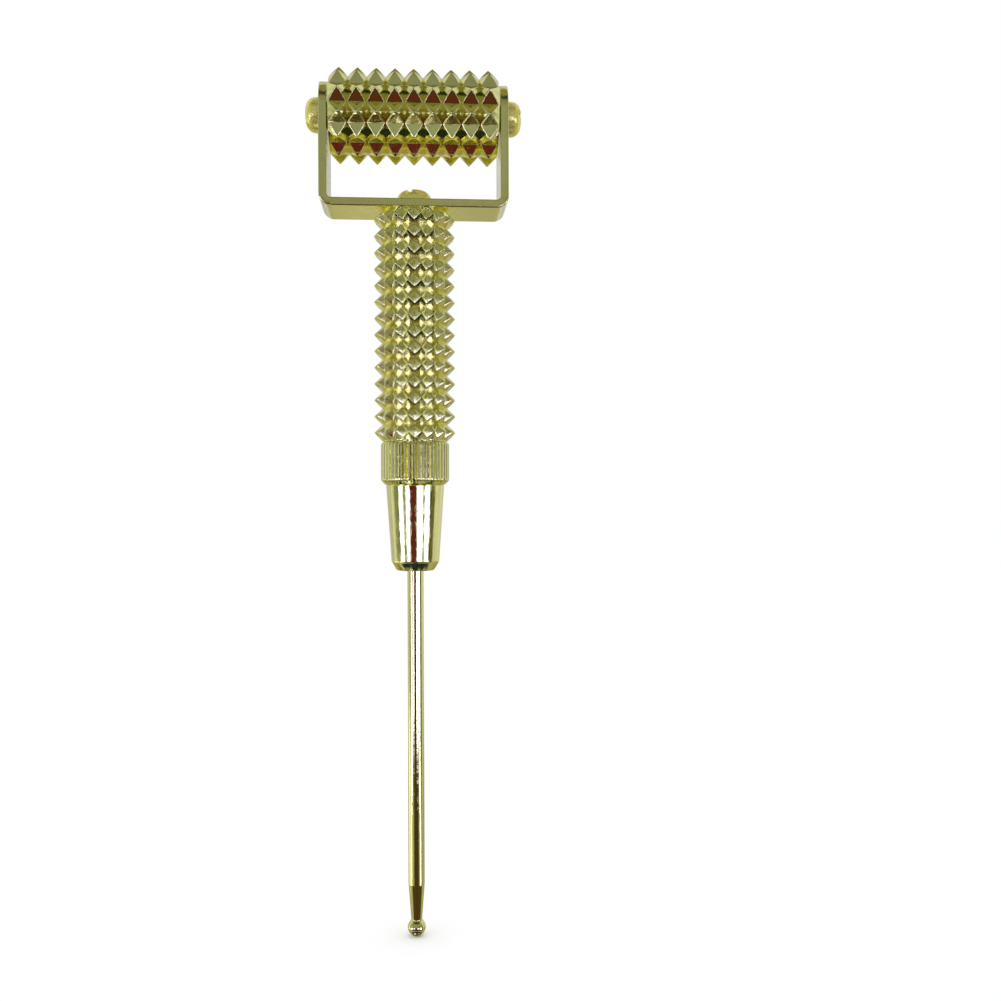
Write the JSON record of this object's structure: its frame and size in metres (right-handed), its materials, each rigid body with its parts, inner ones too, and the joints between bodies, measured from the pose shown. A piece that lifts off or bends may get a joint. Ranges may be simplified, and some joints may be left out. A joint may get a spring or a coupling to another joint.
{
  "type": "spiked massage roller with retractable probe",
  "caption": "Hand-held massage tool: a spiked roller in a fork, a spiked metal handle, and a spring-loaded ball-tip probe that retracts into the nose.",
  "frame": {"origin": "lowest point of the probe's ball, on the tool's long axis", "axes": "+Z along the tool from the probe to the roller, X along the roller's axle, -Y out of the fork's front edges"},
  "size_m": [0.0396, 0.0168, 0.1597],
  "materials": {
    "plated_brass": "bright pale gold plating",
    "screw_brass": "deeper yellow gold plating",
    "spring_steel": "drawn spring wire"
  },
  "bodies": {
    "handle": {"handle_sleeve": "plated_brass", "handle_core": "plated_brass", "nose_cone": "plated_brass", "return_spring": "spring_steel", "fork": "plated_brass", "fork_screw": "screw_brass", "roller_axle": "plated_brass", "axle_screw_left": "screw_brass", "axle_screw_right": "screw_brass"},
    "roller": {"roller": "plated_brass"},
    "probe": {"probe": "plated_brass"}
  },
  "joints": [
    {"name": "roller_spin", "type": "hinge", "parent": "handle", "child": "roller", "pos_m": [0, 0, 0.1513], "axis": [1, 0, 0], "continuous": true},
    {"name": "probe_slide", "type": "slide", "parent": "handle", "child": "probe", "axis": [0, 0, 1], "range_m": [0, 0.01], "stiffness_N_per_m": 150, "springref_m": -0.004, "deforming": ["return_spring"]}
  ]
}
